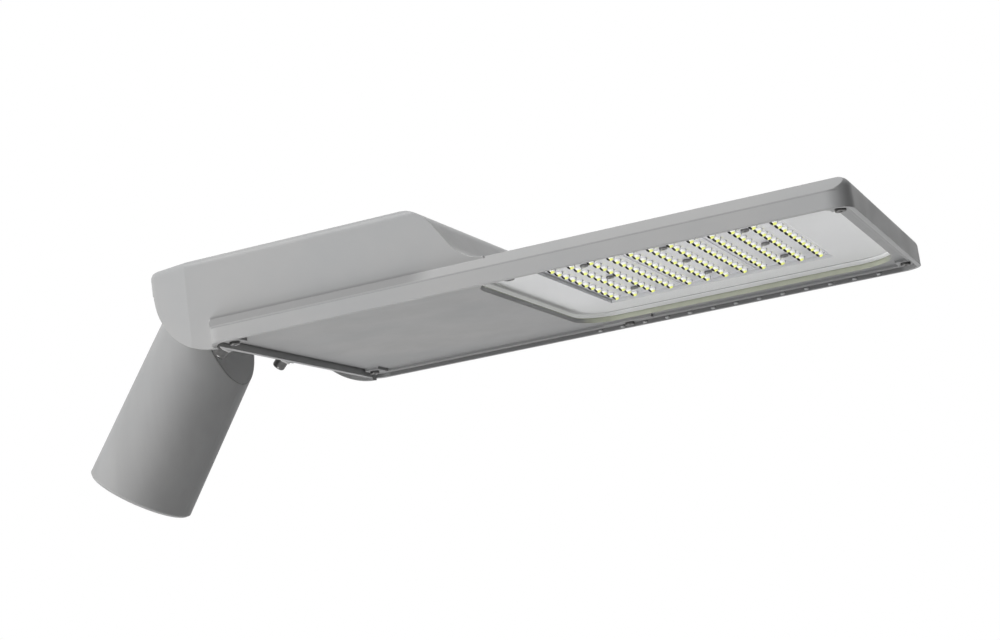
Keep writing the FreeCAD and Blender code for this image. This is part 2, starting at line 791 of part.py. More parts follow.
def tab_outline(place_x, place_y):
    """A screw tab of the cover, reaching in from the perimeter rib."""
    side = 1 if place_y.value > 0 else -1
    low, high = sorted(((cover_half - rib_width / 2) * side, (cover_half - tab_depth) * side),
                       key=lambda s: s.value)
    return box(place_x - tab_length / 2, place_x + tab_length / 2, low, high)


def corner_pad(place_x, place_y, front):
    """The flat corner land under a corner screw."""
    side = 1 if place_y.value > 0 else -1
    reach = cover_screw_head * 0.9
    outer = (cover_half - rib_width / 2) * side
    inner = place_y - reach * side
    low, high = sorted((outer, inner), key=lambda s: s.value)
    if front:
        return box(place_x - reach, cover_front - rib_width / 2, low, high)
    return box(cover_rear + rib_width / 2, place_x + reach, low, high)


def build_cover():
    piece = Piece("cover_frame")
    outer = rounded_box(cover_rear, cover_front, -cover_half, cover_half, recess_corner - cover_gap)
    piece.pad("XY", cover_level, cover_top, [outer])
    inner = rounded_box(cover_rear + rib_width, cover_front - rib_width / 2,
                        -cover_half + rib_width, cover_half - rib_width, recess_corner)
    rib_level = cover_level - rib_drop
    piece.pad("XY", rib_level, cover_level + 0.5, [outer, inner])
    plain_half = screw_rear_y - cover_screw_head * 0.9
    piece.pocket("XY", rib_level - 1, cover_level,
                 [box(cover_rear - 1, cover_rear + rib_width + 1, -plain_half, plain_half)])
    for x, y in cover_screw_places():
        ends = -1 if near(x.value, screw_rear_x) else 1 if near(x.value, screw_front_x) else 0
        if ends == 0:
            piece.pad("XY", rib_level, cover_level + 0.5, [tab_outline(x, y)])
        else:
            piece.pad("XY", rib_level, cover_level + 0.5, [corner_pad(x, y, ends > 0)])
    window = rounded_box(window_rear, window_front, -window_half, window_half, window_corner)
    piece.pocket("XY", rib_level - 1, cover_top + 1, [window])
    piece.pocket("XY", rib_level - 1, cover_top + 1,
                 circles=[(x, y, cover_screw_shank / 2 + hole_clearance)
                          for x, y in cover_screw_places()])


def ring(name, low, high, outer, inner):
    piece = Piece(name)
    piece.pad("XY", low, high, [outer, inner])
    return piece


def build_glass_and_seals():
    corner = window_corner + glass_overlap
    outline = rounded_box(glass_rear, glass_front, -glass_half, glass_half, corner)
    Piece("glass_pane").pad("XY", glass_low, glass_low + glass_thickness, [outline])
    seal_inner = rounded_box(window_rear - 0.4, window_front + 0.4, -window_half - 0.4,
                             window_half + 0.4, window_corner)
    seal_outer = rounded_box(glass_rear, glass_front, -glass_half, glass_half, corner)
    ring("glass_seal", cover_top, glass_low, seal_outer, seal_inner)
    inset = as_size(0.2)
    outer = rounded_box(chamber_rear - gasket_width - inset, chamber_front + gasket_width + inset,
                        -half_chamber - gasket_width - inset, half_chamber + gasket_width + inset,
                        gasket_corner + gasket_width)
    inner = rounded_box(chamber_rear - inset, chamber_front + inset, -half_chamber - inset,
                        half_chamber + inset, gasket_corner)
    ring("cover_gasket", cover_top, ledge_level, outer, inner)


# Light engine

def module_frame(module):
    middle_x = module_middle_x + module_pitch * (module - 1)
    return (middle_x - module_length / 2, middle_x + module_length / 2, -module_width / 2,
            module_width / 2)


def first_led(module):
    middle_x = module_middle_x + module_pitch * (module - 1)
    return (middle_x - led_pitch_x * ((leds_long - 1) / 2),
            -led_pitch_y * ((leds_across - 1) / 2))


def build_module(module):
    left, right, low, high = module_frame(module)
    number = module + 1
    holes = [(x, y, lens_screw_shank / 2 + hole_clearance) for x, y in lens_screw_places(module)]
    board = Piece(f"led_board_{number}")
    board.pad("XY", board_low, ceiling_level, [box(left, right, low, high)])
    x, y = first_led(module)
    chip = board.pad("XY", board_low - chip_height, board_low + 0.1,
                     [box(x - chip_size / 2, x + chip_size / 2, y - chip_size / 2,
                          y + chip_size / 2)])
    board.repeat(chip, leds_long, led_pitch_x, leds_across, led_pitch_y)
    board.pocket("XY", board_low - 1, ceiling_level + 1, circles=holes)

    plate = Piece(f"lens_plate_{number}")
    plate.pad("XY", lens_low, board_low, [box(left, right, low, high)])
    hollow = box(left + lens_skirt, right - lens_skirt, low + lens_skirt, high - lens_skirt)
    plate.pocket("XY", lens_top, board_low + 1, [hollow])
    plate.pad("XY", lens_top - 0.1, board_low,
              circles=[(x, y, lens_screw_shank) for x, y in lens_screw_places(module)])
    dome = [(0, lens_low + 0.1), (0, lens_low - lens_drop, lens_curve, as_size(0),
                                  lens_low - lens_drop + lens_curve, 1),
            (lens_radius, lens_low - lens_foot), (lens_radius, lens_low + 0.1)]
    lens = plate.revolve(dome, x, -y)
    plate.repeat(lens, leds_long, led_pitch_x, leds_across, led_pitch_y, "N_Axis")
    plate.pocket("XY", lens_low - 1, board_low + 1, circles=holes)

    screw = screw_solid(lens_screw_shank, lens_screw_head, lens_screw_head_height,
                        ceiling_level + lens_screw_bite - lens_low, 2.6)
    group(f"lens_screws_{number}",
          [screw.translated(vector(x.value, y.value, lens_low.value))
           for x, y in lens_screw_places(module)])


def build_bezel():
    piece = Piece("bezel_plate")
    inset = as_size(1.2)
    outer = rounded_box(glass_rear + inset, glass_front - inset, -glass_half + inset,
                        glass_half - inset, window_corner)
    first = module_frame(0)
    last = module_frame(module_count - 1)
    opening = box(first[0] - bezel_gap, last[1] + bezel_gap, first[2] - bezel_gap,
                  first[3] + bezel_gap)
    grown = bezel_gap + bezel_sheet
    fold = box(first[0] - grown, last[1] + grown, first[2] - grown, first[3] + grown)
    piece.pad("XY", bezel_level, bezel_level + bezel_sheet, [outer, opening])
    piece.pad("XY", bezel_level, lens_top, [fold, opening])


# Tilting pole socket, drawn along its own axis from the mouth and then tilted

def build_socket():
    piece = Piece("pole_socket", placed=False)
    top = socket_reach - socket_top_gap
    stop = socket_depth
    passage = cable_passage / 2
    bore = socket_bore / 2
    lip = as_size(1.5)
    profile = [
        (bore, 0), (socket_mouth_diameter / 2 - lip, 0), (socket_mouth_diameter / 2, lip),
        (socket_top_diameter / 2, top), (passage, top), (passage, stop), (bore, stop),
    ]
    piece.revolve(profile)
    half_ear = ear_width / 2
    thickness = trunnion_radius
    low = top - 1
    ears = []
    for side in (-1, 1):
        near_y, far_y = sorted((ear_inner_width / 2 * side, half_ear * side),
                               key=lambda s: s.value)
        ears.append((near_y, far_y))
    beyond = socket_mouth_diameter
    cut_low = socket_reach + relief_offset - beyond
    relief = [(relief_offset, socket_reach), (beyond, socket_reach),
              (beyond, cut_low)]
    piece.pocket("XZ", -beyond, beyond, [relief])
    plane = (socket_reach + relief_offset).value
    piece.dress("Fillet", {"Radius": relief_edge},
                lambda edge: near(middle(edge).x + middle(edge).z, plane)
                and edge.Curve.TypeId != "Part::GeomLine")
    for near_y, far_y in ears:
        piece.pad("XZ", near_y, far_y,
                  [[(-thickness, low), (thickness, low), (thickness, socket_reach, thickness,
                                                          as_size(0), socket_reach, 1),
                    (-thickness, socket_reach)]])
    for side in (-1, 1):
        near_y, far_y = sorted((ear_inner_width / 2 * side, trunnion_width / 2 * side),
                               key=lambda s: s.value)
        piece.pad("XZ", near_y, far_y, circles=[(0, socket_reach, trunnion_radius)])
    radius = set_screw_diameter / 2 + thread_clearance
    piece.pocket("YZ", -socket_mouth_diameter, 0,
                 circles=[(0, set_screw_low, radius), (0, set_screw_high, radius)])
    piece.body.Placement = FreeCAD.Placement(vector(0, 0, 0),
                                             FreeCAD.Rotation(vector(0, 1, 0), tilt_angle.value))
    piece.body.setExpression("Placement.Rotation.Angle", f"{tilt_angle.text} * 1 deg")


def build_set_screws():
    radius = set_screw_diameter.value / 2
    solids = []
    for level in (set_screw_low.value, set_screw_high.value):
        start = -socket_bore.value / 2 - 0.3
        solid = Part.makeCylinder(radius, set_screw_length.value, vector(start, 0, level),
                                  vector(-1, 0, 0))
        socket = Part.makeCylinder(radius * 0.5, 5, vector(start - set_screw_length.value, 0, level),
                                   vector(1, 0, 0))
        solid = solid.cut(socket)
        solid.rotate(vector(0, 0, 0), vector(0, 1, 0), tilt_angle.value)
        solids.append(solid)
    feature = doc.addObject("Part::Feature", "set_screws")
    feature.Label = "set_screws"
    feature.Shape = Part.makeCompound(solids)


# Clamp caps with their bolts and washers

def build_clamp(side, label):
    piece = Piece(f"clamp_cap_{label}", placed=False)
    outer = bearing_radius + cap_wall
    inner_y = (rib_inner + cap_side_gap) * side
    outer_y = (rib_outer - cap_side_gap) * side
    low_y, high_y = sorted((inner_y, outer_y), key=lambda s: s.value)
    front = bolt_arm + bolt_edge
    rear = -outer + 0.6
    profile = [
        (-outer, 0, outer, as_size(0), as_size(0), 1), (outer * cosine(as_size(25)),
                                                        -outer * sine(as_size(25))),
        (outer * cosine(as_size(25)) + 2, -cap_flange), (front, -cap_flange), (front, 0),
        (bearing_radius, 0, bearing_radius, as_size(0), as_size(0), -1), (-bearing_radius, 0),
    ]
    piece.pad("XZ", low_y, high_y, [profile])
    tongue_low, tongue_high = (bolt_y * side - tongue_width / 2, bolt_y * side + tongue_width / 2)
    piece.pad("XZ", tongue_low, tongue_high,
              [box(rear, rear + tongue_depth, as_size(-1), tongue_height)])
    piece.pocket("XY", -cap_flange - 1, 1,
                 circles=[(bolt_arm, bolt_y * side, bolt_shank / 2 + hole_clearance)])
    turn = FreeCAD.Rotation(vector(0, 1, 0), clamp_angle.value)
    piece.body.Placement = FreeCAD.Placement(vector(0, 0, 0), turn)
    piece.body.setExpression("Placement.Rotation.Angle", f"{clamp_angle.text} * 1 deg")
    piece.body.setExpression("Placement.Base.x", (pivot_x + shift_x).text)
    piece.body.setExpression("Placement.Base.z", (pivot_z + shift_z).text)

    seat = -cap_flange.value - washer_thickness.value
    bolt = screw_solid(bolt_shank, bolt_head, bolt_head_height,
                       cap_flange + washer_thickness + bolt_bite, 5.6)
    bolt.translate(vector(bolt_arm.value, bolt_y.value * side, seat))
    washer = Part.makeCylinder(washer_diameter.value / 2, washer_thickness.value)
    washer = washer.cut(Part.makeCylinder(bolt_shank.value / 2 + hole_clearance.value, 5))
    washer.translate(vector(bolt_arm.value, bolt_y.value * side, seat))
    for name, solid in ((f"clamp_bolt_{label}", bolt), (f"clamp_washer_{label}", washer)):
        feature = doc.addObject("Part::Feature", name)
        feature.Label = name
        feature.Shape = Part.makeCompound([solid])
        place = vector(pivot_x.value + shift_x.value, 0, pivot_z.value + shift_z.value)
        feature.Placement = FreeCAD.Placement(place, turn)


# Gear compartment

def driver_screw_places():
    reach = driver_length / 2 + driver_flange / 2
    return [(driver_x, reach), (driver_x, -reach)]


def build_gear():
    tray = Piece("gear_tray")
    level = gear_tray_level
    half = gear_tray_width / 2
    tray.pad("XY", level, level + gear_tray_sheet,
             [rounded_box(gear_tray_rear, gear_tray_front, -half, half, as_size(6))])
    holes = [(x, gear_screw_y * side, small_screw_shank / 2 + hole_clearance)
             for x in gear_screw_x for side in (-1, 1)]
    small = small_screw_shank / 2
    holes += [(x, y, small + thread_clearance) for x, y in driver_screw_places()]
    tray.pocket("XY", level - 1, level + 5, circles=holes)

    driver = Piece("led_driver")
    low = level - driver_height
    half_length = driver_length / 2
    half_depth = driver_width / 2
    driver.pad("XY", low, level, [rounded_box(driver_x - half_depth, driver_x + half_depth,
                                              -half_length, half_length, as_size(4))])
    ends = half_length + driver_flange
    driver.pad("XY", level - driver_flange_sheet, level,
               [rounded_box(driver_x - half_depth + 8, driver_x + half_depth - 8, -ends, ends,
                            as_size(3))])
    driver.dress("Fillet", {"Radius": as_size(2.5)},
                 lambda edge: near(middle(edge).z, low))
    driver.pocket("XY", level - driver_flange_sheet - 1, level + 1,
                  circles=[(x, y, small_screw_shank / 2 + hole_clearance)
                           for x, y in driver_screw_places()])

    surge = Piece("surge_protector")
    surge.pad("XY", level - surge_height, level,
              [rounded_box(surge_x - surge_width / 2, surge_x + surge_width / 2,
                           surge_y - surge_length / 2, surge_y + surge_length / 2, as_size(3))])

    build_terminal(level)
    strip = Piece("cable_clamp")
    low = level - 9
    half_strip = clamp_strip_length / 2
    x0 = terminal_x - clamp_strip_width / 2
    x1 = terminal_x + clamp_strip_width / 2
    middle_y = clamp_strip_y
    profile = [(middle_y - half_strip, level - 3), (middle_y - 8, level - 3), (middle_y - 6, low),
               (middle_y + 6, low), (middle_y + 8, level - 3), (middle_y + half_strip, level - 3),
               (middle_y + half_strip, level), (middle_y + 7, level), (middle_y + 4, low + 3),
               (middle_y - 4, low + 3), (middle_y - 7, level), (middle_y - half_strip, level)]
    strip.pad("YZ", x0, x1, [profile])
    screw = screw_solid(small_screw_shank, small_screw_head, small_screw_head_height,
                        gear_tray_sheet + small_screw_length - 1, 3.4)
    group("gear_tray_screws",
          [screw.translated(vector(x.value, gear_screw_y.value * side, level.value))
           for x in gear_screw_x for side in (-1, 1)])
    screw = screw_solid(small_screw_shank, small_screw_head, small_screw_head_height,
                        driver_flange_sheet + gear_tray_sheet + 1.5, 3.4)
    group("driver_screws",
          [screw.translated(vector(x.value, y.value, (level - driver_flange_sheet).value))
           for x, y in driver_screw_places()])


def build_terminal(level):
    block = Piece("terminal_block")
    low = level - terminal_height
    left = terminal_x - terminal_width / 2
    right = terminal_x + terminal_width / 2
    start = terminal_y - terminal_length / 2
    block.pad("XY", low, level, [box(left, right, start, start + terminal_length)])
    pitch = terminal_length / terminal_ways
    wells = [(terminal_x - side * terminal_width / 4, start + pitch * (way + 0.5),
              terminal_well / 2) for way in range(terminal_ways) for side in (-1, 1)]
    block.pocket("XY", low - 1, low + 5, circles=wells)


def build_gland():
    body = Piece("cable_gland")
    outer = -gland_flange
    dome = outer - gland_dome_length
    inner_end = rim_wall + 0.5 + gland_nut_thickness + 2
    body.pad("YZ", outer, 0, [hexagon(as_size(0), gland_z, gland_hexagon)])
    body.pad("YZ", dome, outer, circles=[(0, gland_z, gland_dome_diameter / 2)])
    body.pad("YZ", -1, inner_end, circles=[(0, gland_z, gland_thread / 2)])
    body.dress("Fillet", {"Radius": as_size(3)},
               lambda edge: near(middle(edge).x, dome) and len(edge.Vertexes) == 1)
    body.pocket("YZ", dome - 1, inner_end + 1, circles=[(0, gland_z, gland_passage / 2)])
    nut = Piece("gland_nut")
    start = rim_wall + 0.5
    nut.pad("YZ", start, start + gland_nut_thickness, [hexagon(as_size(0), gland_z, gland_hexagon)],
            circles=[(0, gland_z, gland_thread / 2 + thread_clearance)])
    vent = Piece("breather_vent")
    vent.pad("YZ", -vent_head_length, 0, circles=[(vent_y, gland_z, vent_head_diameter / 2)])
    vent.pad("YZ", -1, inner_end - 2, circles=[(vent_y, gland_z, vent_diameter / 2)])
    vent.dress("Fillet", {"Radius": as_size(1.5)},
               lambda edge: near(middle(edge).x, -vent_head_length) and len(edge.Vertexes) == 1)


def build_cover_screws():
    under = cover_level - rib_drop
    screw = screw_solid(cover_screw_shank, cover_screw_head, cover_screw_head_height,
                        cover_screw_reach - under, 3.2)
    group("cover_screws", [screw.translated(vector(x.value, y.value, under.value))
                           for x, y in cover_screw_places()])


def export_all():
    doc.recompute()
    for item in doc.Objects:
        if "Invalid" in item.State or "Error" in item.State:
            raise ValueError(f"{item.Label} is {item.State}")
    os.makedirs("parts", exist_ok=True)
    for item in doc.Objects:
        if item.TypeId not in ("PartDesign::Body", "Part::Feature"):
            continue
        shape = item.Shape
        if shape.isNull() or not shape.isValid() or not shape.Solids:
            raise ValueError(f"{item.Label} has no valid solid")
        shape.exportStep(f"parts/{item.Label}.step")


doc.recompute()
build_housing()
build_cover()
build_cover_screws()
build_glass_and_seals()
for module_number in range(module_count):
    build_module(module_number)
build_bezel()
build_gear()
build_gland()
build_socket()
build_set_screws()
for side_sign, side_label in ((-1, "right"), (1, "left")):
    build_clamp(side_sign, side_label)
export_all()
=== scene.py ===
import bpy
import bmesh
import math
from mathutils import Matrix, Vector


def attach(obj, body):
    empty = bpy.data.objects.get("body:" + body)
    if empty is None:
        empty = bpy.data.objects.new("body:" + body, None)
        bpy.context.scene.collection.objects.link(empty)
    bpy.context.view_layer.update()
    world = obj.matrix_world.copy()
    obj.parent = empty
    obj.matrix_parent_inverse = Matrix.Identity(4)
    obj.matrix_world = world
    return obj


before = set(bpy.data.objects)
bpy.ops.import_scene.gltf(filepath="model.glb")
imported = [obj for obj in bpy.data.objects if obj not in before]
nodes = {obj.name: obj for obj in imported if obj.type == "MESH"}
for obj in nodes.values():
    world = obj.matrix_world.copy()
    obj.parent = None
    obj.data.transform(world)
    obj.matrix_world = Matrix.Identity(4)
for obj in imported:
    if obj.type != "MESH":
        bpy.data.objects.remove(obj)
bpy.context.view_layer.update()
scene = bpy.context.scene
scene.view_settings.view_transform = "Standard"

# Tray coordinates, in mm, start at the tray's rear edge, its middle and the rim's lower plane.
# The frame starts at the mouth of the socket, which is tilted about the pivot.
MM = 0.001
TILT = math.radians(35.85)
REACH = 147.3
PIVOT_X, PIVOT_Z = -57.8, 46.993
SHIFT = Vector(((-PIVOT_X + REACH * math.sin(TILT)) * MM, 0,
                (-PIVOT_Z + REACH * math.cos(TILT)) * MM))

# Places on the part that the looks follow, in tray coordinates
WINDOW_REAR, WINDOW_FRONT, WINDOW_HALF, WINDOW_CORNER = 184.0, 421.0, 114.5, 28.0
MODULES_MIDDLE = 298.8
MODULE_JOINT = 27.4
MODULE_HALF = 82.0
LED_PITCH = (13.7, 13.44)
LENS_FACE = 15.0
RIM_INNER = 127.0


def tray(x, y, z):
    return Vector((x * MM, y * MM, z * MM)) + SHIFT


def tray_x(*places):
    return tuple(place * MM + SHIFT.x for place in places)


def tray_z(*levels):
    return tuple(level * MM + SHIFT.z for level in levels)


def metres(*lengths):
    return tuple(length * MM for length in lengths)


# Material helpers

EDGE_SAMPLES = 4
INPUTS = {"colour": "Base Color", "metal": "Metallic", "rough": "Roughness", "normal": "Normal",
          "specular": "Specular IOR Level", "alpha": "Alpha", "glow": "Emission Color",
          "glow_strength": "Emission Strength"}


class Shader:
    """A node tree with one Principled shader and short names for the nodes that feed it."""

    def __init__(self, name):
        self.material = bpy.data.materials.new(name)
        self.material.use_nodes = True
        self.tree = self.material.node_tree
        self.tree.nodes.clear()
        out = self.tree.nodes.new("ShaderNodeOutputMaterial")
        self.bsdf = self.tree.nodes.new("ShaderNodeBsdfPrincipled")
        self.tree.links.new(self.bsdf.outputs["BSDF"], out.inputs["Surface"])
        coordinates = self.tree.nodes.new("ShaderNodeTexCoord")
        self.place = coordinates.outputs["Object"]
        self.facing = coordinates.outputs["Normal"]

    def link(self, value, socket):
        if isinstance(value, bpy.types.NodeSocket):
            self.tree.links.new(value, socket)
        elif isinstance(value, (tuple, list)) and len(value) == 3 and socket.type == "RGBA":
            socket.default_value = (*value, 1)
        else:
            socket.default_value = value

    def math(self, operation, *values):
        node = self.tree.nodes.new("ShaderNodeMath")
        node.operation = operation
        for value, socket in zip(values, node.inputs):
            self.link(value, socket)
        return node.outputs[0]

    def product(self, first, *others):
        for other in others:
            first = self.math("MULTIPLY", first, other)
        return first

    def length(self, first, *others):
        square = self.math("MULTIPLY", first, first)
        for other in others:
            square = self.math("ADD", square, self.math("MULTIPLY", other, other))
        return self.math("SQRT", square)

    def away(self, value, middle=0.0):
        return self.math("ABSOLUTE", self.math("SUBTRACT", value, middle))

    def dot(self, first, second):
        node = self.tree.nodes.new("ShaderNodeVectorMath")
        node.operation = "DOT_PRODUCT"
        self.link(first, node.inputs[0])
        self.link(second, node.inputs[1])
        return node.outputs["Value"]

    def axes(self):
        node = self.tree.nodes.new("ShaderNodeSeparateXYZ")
        self.link(self.place, node.inputs[0])
        return node.outputs

    def noise(self, scale, detail=3.0, rough=0.55, place=None):
        node = self.tree.nodes.new("ShaderNodeTexNoise")
        self.link(place or self.place, node.inputs["Vector"])
        node.inputs["Scale"].default_value = scale
        node.inputs["Detail"].default_value = detail
        node.inputs["Roughness"].default_value = rough
        return node.outputs["Fac"]

    def cells(self, scale):
        node = self.tree.nodes.new("ShaderNodeTexVoronoi")
        self.link(self.place, node.inputs["Vector"])
        node.inputs["Scale"].default_value = scale
        return node.outputs["Distance"]

    def stretch(self, scales, turn=(0, 0, 0)):
        node = self.tree.nodes.new("ShaderNodeMapping")
        self.link(self.place, node.inputs["Vector"])
        node.inputs["Scale"].default_value = scales
        node.inputs["Rotation"].default_value = turn
        return node.outputs["Vector"]

    def between(self, value, low, high, to_low=0.0, to_high=1.0, smooth=True):
        node = self.tree.nodes.new("ShaderNodeMapRange")
        node.interpolation_type = "SMOOTHSTEP" if smooth else "LINEAR"
        self.link(value, node.inputs["Value"])
        node.inputs["From Min"].default_value = low
        node.inputs["From Max"].default_value = high
        node.inputs["To Min"].default_value = to_low
        node.inputs["To Max"].default_value = to_high
        return node.outputs["Result"]

    def within(self, value, rise, fall):
        """Up from nought to one over rise, and down to nought again over fall."""
        return self.product(self.between(value, *rise), self.between(value, fall[1], fall[0]))

    def mix(self, amount, first, second):
        node = self.tree.nodes.new("ShaderNodeMix")
        node.data_type = "RGBA"
        self.link(amount, node.inputs["Factor"])
        self.link(first, node.inputs["A"])
        self.link(second, node.inputs["B"])
        return node.outputs["Result"]

    def mottle(self, noise, to_low, to_high):
        """A noise spread from one level to another."""
        return self.between(noise, 0.3, 0.7, to_low, to_high)

    def cloud(self, noise, first, second):
        """Two close colours that run into each other."""
        return self.mix(self.mottle(noise, 0.0, 1.0), first, second)

    def edge(self, radius):
        """The rounded normal, and one along an edge but nought on a flat face."""
        node = self.tree.nodes.new("ShaderNodeBevel")
        node.samples = EDGE_SAMPLES
        node.inputs["Radius"].default_value = radius
        rounded = node.outputs["Normal"]
        plain = self.tree.nodes.new("ShaderNodeNewGeometry").outputs["Normal"]
        return rounded, self.between(self.dot(rounded, plain), 0.995, 0.90)

    def bump(self, height, distance, strength, normal=None):
        node = self.tree.nodes.new("ShaderNodeBump")
        self.link(height, node.inputs["Height"])
        node.inputs["Distance"].default_value = distance
        node.inputs["Strength"].default_value = strength
        if normal is not None:
            self.link(normal, node.inputs["Normal"])
        return node.outputs["Normal"]

    def set(self, **values):
        for key, value in values.items():
            self.link(value, self.bsdf.inputs[INPUTS[key]])
        return self.material


def grey(value, warmth=0.0):
    return (value * (1 + warmth), value, value * (1 - warmth))


def scaled(colour, factor, lift=0.0):
    return tuple(min(channel * factor + lift, 1) for channel in colour)


# Materials

def powder_coat(name, level, rough=0.42, round_edges=0.8, reflection_streaks=0.0, edge_highlight=0.35,
                overlay=None):
    """Thin polyester powder on a casting: fine orange peel, a faint cloudiness, and edges painted
    paler, a painted highlight.
    """
    s = Shader(name)
    shade = s.cloud(s.noise(9, 4, 0.6), grey(level * 0.965, -0.012), grey(level * 1.03, 0.004))
    speck = s.between(s.noise(2600, 1, 0.5), 0.62, 0.78, 0, 0.35)
    shade = s.mix(speck, shade, grey(level * 0.86))
    # Soft darker bands along the tube: a painted reflection of the studio's light.
    if reflection_streaks:
        along_tube = s.stretch((34, 34, 2.2), (0, -TILT, 0))
        band = s.between(s.noise(1, 3, 0.6, along_tube), 0.35, 0.68, 0, reflection_streaks)
        shade = s.mix(band, shade, grey(level * 0.84))
    # Edges painted paler: a painted highlight along the rounded edges.
    rounded, edge = s.edge(round_edges * MM)
    shade = s.mix(s.product(edge, edge_highlight), shade, grey(min(level * 1.5, 0.9)))
    if overlay:
        shade = overlay(s, shade)
    dust = s.between(s.noise(42, 5, 0.7), 0.55, 0.8, 0, 0.10)
    shade = s.mix(dust, shade, (level * 1.12, level * 1.1, level * 1.04))
    peel = s.product(s.noise(620, 2, 0.5), 0.7)
    fine = s.product(s.noise(2100, 2, 0.6), 0.3)
    return s.set(colour=shade, rough=s.mottle(s.noise(30, 4, 0.6), rough - 0.035, rough + 0.05),
                 specular=0.2, normal=s.bump(s.math("ADD", peel, fine), 0.09 * MM, 0.55, rounded))


def steel(name, level, rough=0.3, brushed=180, edge_glint=0.5):
    """Turned or rolled steel with fine lines, faint stains and edges painted bright, a painted
    highlight.
    """
    s = Shader(name)
    rounded, edge = s.edge(0.3 * MM)
    lines = s.noise(1, 2, 0.5, s.stretch((brushed, brushed, 2400)))
    shade = s.cloud(lines, grey(level * 0.88, 0.01), grey(level * 1.06, 0.01))
    stain = s.between(s.noise(260, 4, 0.7), 0.55, 0.8, 0, 0.35)
    shade = s.mix(stain, shade, (level * 0.72, level * 0.66, level * 0.58))
    # Edges painted bright: a painted highlight.
    shade = s.mix(s.product(edge, edge_glint), shade, grey(0.62))
    return s.set(colour=shade, metal=1.0, rough=s.mottle(lines, rough, rough + 0.12),
                 normal=s.bump(lines, 0.03 * MM, 0.4, rounded))


def galvanised(name):
    """Zinc-coated sheet with its spangle."""
    s = Shader(name)
    spangle = s.cells(140)
    shade = s.mix(s.between(spangle, 0.1, 0.7), (0.60, 0.62, 0.64), (0.44, 0.46, 0.48))
    return s.set(colour=shade, metal=0.9, rough=s.between(spangle, 0.1, 0.7, 0.34, 0.52),
                 normal=s.bump(s.noise(700, 2), 0.03 * MM, 0.3))


def moulded(name, colour, rough=0.45, grain=1500, soft=False):
    """Moulded plastic with a fine grain, or rubber where it is soft."""
    s = Shader(name)
    rounded, edge = s.edge(0.4 * MM)
    shade = s.cloud(s.noise(60, 3, 0.6), scaled(colour, 0.9), scaled(colour, 1.08))
    # Edges painted paler: a painted highlight.
    shade = s.mix(s.product(edge, 0.25), shade, scaled(colour, 1.5, 0.02))
    return s.set(colour=shade, rough=s.mottle(s.noise(300, 3), rough - 0.04, rough + 0.08),
                 specular=0.25 if soft else 0.5,
                 normal=s.bump(s.noise(grain, 2), 0.04 * MM, 0.5, rounded))


def white_sheet(name):
    """White-coated sheet or board, a little cloudy."""
    s = Shader(name)
    shade = s.cloud(s.noise(11, 3, 0.5), (0.88, 0.885, 0.89), (0.93, 0.935, 0.94))
    return s.set(colour=shade, rough=s.mottle(s.noise(80, 3), 0.34, 0.44), specular=0.35,
                 normal=s.bump(s.noise(900, 2), 0.03 * MM, 0.4))


OUTLINE_BLUR = 0.15
PRINT_START = 0.3
# Glow of the print: painted light on the border where the frame shades it.
PRINT_GLOW = 0.16
GLASS_ALPHA = 0.035


def outside_window(s, margin):
    """One beyond the window's rounded outline grown by margin, nought inside it."""
    x, y, _ = s.axes()
    middle = tray_x((WINDOW_REAR + WINDOW_FRONT) / 2)[0]
    half_length = (WINDOW_FRONT - WINDOW_REAR) / 2
    beyond = [s.math("MAXIMUM", s.math("SUBTRACT", s.away(axis, centre), straight * MM), 0.0)
              for axis, centre, straight in ((x, middle, half_length - WINDOW_CORNER),
                                             (y, 0.0, WINDOW_HALF - WINDOW_CORNER))]
    radius = WINDOW_CORNER + margin
    return s.between(s.length(*beyond), *metres(radius - OUTLINE_BLUR, radius + OUTLINE_BLUR))


def clear_glass(name):
    """Low-iron glass with a white printed border, which starts at the window's outline and glows a
    little: painted light where the frame shades the border. The print's white starts under its
    edge, so that the edge has no dark line."""
    s = Shader(name)
    border = outside_window(s, PRINT_START)
    tint = outside_window(s, PRINT_START - 0.5)
    print_white = s.cloud(s.noise(11, 3, 0.5), (0.80, 0.805, 0.81), (0.85, 0.855, 0.86))
    smear = s.between(s.noise(16, 5, 0.65), 0.4, 0.75, 0.02, 0.07)
    return s.set(colour=s.mix(tint, (0.10, 0.12, 0.11), print_white),
                 rough=s.math("ADD", smear, s.product(border, 0.3)), specular=0.35,
                 alpha=s.between(border, 0, 1, GLASS_ALPHA, 1.0, smooth=False), glow=(1, 1, 1),
                 glow_strength=s.between(border, 0, 1, 0, PRINT_GLOW, smooth=False))


